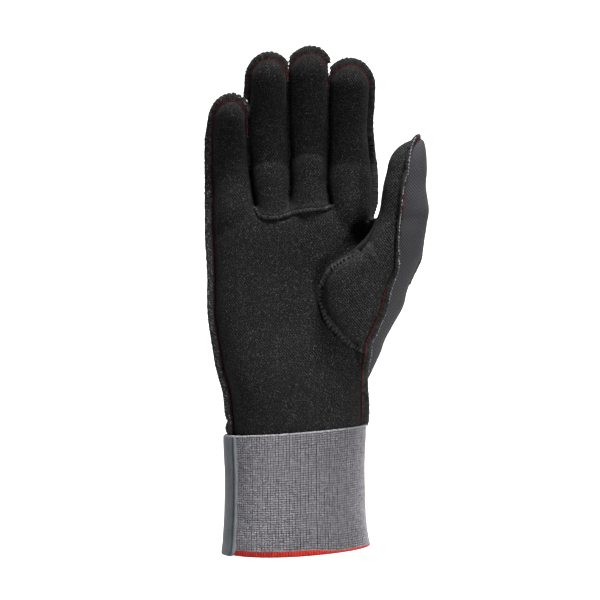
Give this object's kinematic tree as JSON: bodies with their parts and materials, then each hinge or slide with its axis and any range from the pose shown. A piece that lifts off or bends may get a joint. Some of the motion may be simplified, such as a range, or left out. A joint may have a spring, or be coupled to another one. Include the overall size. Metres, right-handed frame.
{
  "type": "glove liner",
  "caption": "Stretch glove liner for a right hand in its worn form, with overlocked seams, a knit cuff, a turned hem and a side tab.",
  "frame": {"origin": "centre of the cuff's opening, where the hand goes in", "axes": "+Z from the opening towards the fingertips, -Y the palm side, +X the thumb side"},
  "size_m": [0.1237, 0.0703, 0.2843],
  "materials": {
    "fabric_black": "brushed stretch fabric",
    "fabric_grey": "stretch fabric",
    "overlock_black": "overlocked thread",
    "knit_grey": "fine knit",
    "hem_red": "fine knit",
    "tab_grey": "smooth woven"
  },
  "bodies": {
    "root": {"palm_panel": "fabric_black", "finger_insert": "fabric_black", "thumb_front": "fabric_black", "back_panel": "fabric_grey", "thumb_back": "fabric_grey", "seam_little": "overlock_black", "seam_ring": "overlock_black", "seam_middle": "overlock_black", "seam_index": "overlock_black", "seam_thumb": "overlock_black", "seam_thumb_root": "overlock_black", "seam_finger_base": "overlock_black", "cuff": "knit_grey", "hem": "hem_red", "side_tab": "tab_grey"}
  },
  "joints": []
}
